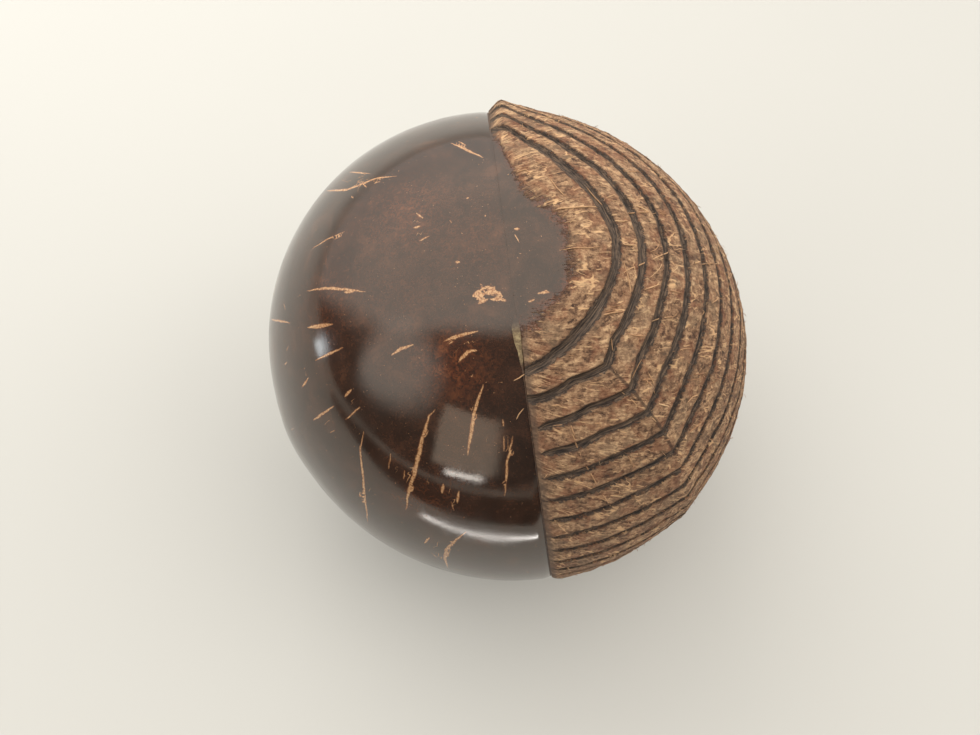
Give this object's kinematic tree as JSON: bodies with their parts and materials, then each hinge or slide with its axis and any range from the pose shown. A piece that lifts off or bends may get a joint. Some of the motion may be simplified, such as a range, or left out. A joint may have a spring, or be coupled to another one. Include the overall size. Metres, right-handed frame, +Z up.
{
  "type": "coconut shell shaker",
  "caption": "Round hand-held rattle of coconut shell, smooth and lacquered on a side and rough with carved grooves on the other, with loose seeds sealed inside.",
  "frame": {"origin": "middle of the small flat that the shell rests on, under the middle of the nut", "axes": "+Z up from the rest flat; +X towards the carved half; -Y to the front, where the blunt tip of the nut leans"},
  "size_m": [0.1212, 0.1214, 0.1195],
  "materials": {
    "lacquered_shell": "sanded coconut shell under clear gloss lacquer, dark brown with tan fibre streaks",
    "fibrous_shell": "rough natural fibre skin of the shell, matte tan brown, with dark carved grooves",
    "filler": "glue mixed with shell dust, sanded, satin khaki brown",
    "plug_wood": "end-grain hardwood, satin",
    "seed": "dry hard seed coat, satin dark brown"
  },
  "bodies": {
    "shell": {"polished_half_shell": "lacquered_shell", "carved_half_shell": "fibrous_shell", "seam_filler": "filler", "eye_plug": "plug_wood"},
    "seed_01": {"seed_01": "seed"},
    "seed_02": {"seed_02": "seed"},
    "seed_03": {"seed_03": "seed"},
    "seed_04": {"seed_04": "seed"},
    "seed_05": {"seed_05": "seed"},
    "seed_06": {"seed_06": "seed"},
    "seed_07": {"seed_07": "seed"},
    "seed_08": {"seed_08": "seed"},
    "seed_09": {"seed_09": "seed"},
    "seed_10": {"seed_10": "seed"},
    "seed_11": {"seed_11": "seed"},
    "seed_12": {"seed_12": "seed"},
    "seed_13": {"seed_13": "seed"},
    "seed_14": {"seed_14": "seed"},
    "seed_15": {"seed_15": "seed"},
    "seed_16": {"seed_16": "seed"},
    "seed_17": {"seed_17": "seed"},
    "seed_18": {"seed_18": "seed"},
    "seed_19": {"seed_19": "seed"}
  },
  "joints": [
    {"name": "seed_01_rise", "type": "slide", "parent": "shell", "child": "seed_01", "axis": [0, 0, 1], "range_m": [0, 0.102]},
    {"name": "seed_02_rise", "type": "slide", "parent": "shell", "child": "seed_02", "axis": [0, 0, 1], "range_m": [0, 0.101]},
    {"name": "seed_03_rise", "type": "slide", "parent": "shell", "child": "seed_03", "axis": [0, 0, 1], "range_m": [0, 0.101]},
    {"name": "seed_04_rise", "type": "slide", "parent": "shell", "child": "seed_04", "axis": [0, 0, 1], "range_m": [0, 0.101]},
    {"name": "seed_05_rise", "type": "slide", "parent": "shell", "child": "seed_05", "axis": [0, 0, 1], "range_m": [0, 0.101]},
    {"name": "seed_06_rise", "type": "slide", "parent": "shell", "child": "seed_06", "axis": [0, 0, 1], "range_m": [0, 0.101]},
    {"name": "seed_07_rise", "type": "slide", "parent": "shell", "child": "seed_07", "axis": [0, 0, 1], "range_m": [0, 0.101]},
    {"name": "seed_08_rise", "type": "slide", "parent": "shell", "child": "seed_08", "axis": [0, 0, 1], "range_m": [0, 0.0975]},
    {"name": "seed_09_rise", "type": "slide", "parent": "shell", "child": "seed_09", "axis": [0, 0, 1], "range_m": [0, 0.0975]},
    {"name": "seed_10_rise", "type": "slide", "parent": "shell", "child": "seed_10", "axis": [0, 0, 1], "range_m": [0, 0.0975]},
    {"name": "seed_11_rise", "type": "slide", "parent": "shell", "child": "seed_11", "axis": [0, 0, 1], "range_m": [0, 0.0975]},
    {"name": "seed_12_rise", "type": "slide", "parent": "shell", "child": "seed_12", "axis": [0, 0, 1], "range_m": [0, 0.0975]},
    {"name": "seed_13_rise", "type": "slide", "parent": "shell", "child": "seed_13", "axis": [0, 0, 1], "range_m": [0, 0.0975]},
    {"name": "seed_14_rise", "type": "slide", "parent": "shell", "child": "seed_14", "axis": [0, 0, 1], "range_m": [0, 0.0975]},
    {"name": "seed_15_rise", "type": "slide", "parent": "shell", "child": "seed_15", "axis": [0, 0, 1], "range_m": [0, 0.0975]},
    {"name": "seed_16_rise", "type": "slide", "parent": "shell", "child": "seed_16", "axis": [0, 0, 1], "range_m": [0, 0.0975]},
    {"name": "seed_17_rise", "type": "slide", "parent": "shell", "child": "seed_17", "axis": [0, 0, 1], "range_m": [0, 0.0975]},
    {"name": "seed_18_rise", "type": "slide", "parent": "shell", "child": "seed_18", "axis": [0, 0, 1], "range_m": [0, 0.0975]},
    {"name": "seed_19_rise", "type": "slide", "parent": "shell", "child": "seed_19", "axis": [0, 0, 1], "range_m": [0, 0.0975]}
  ]
}
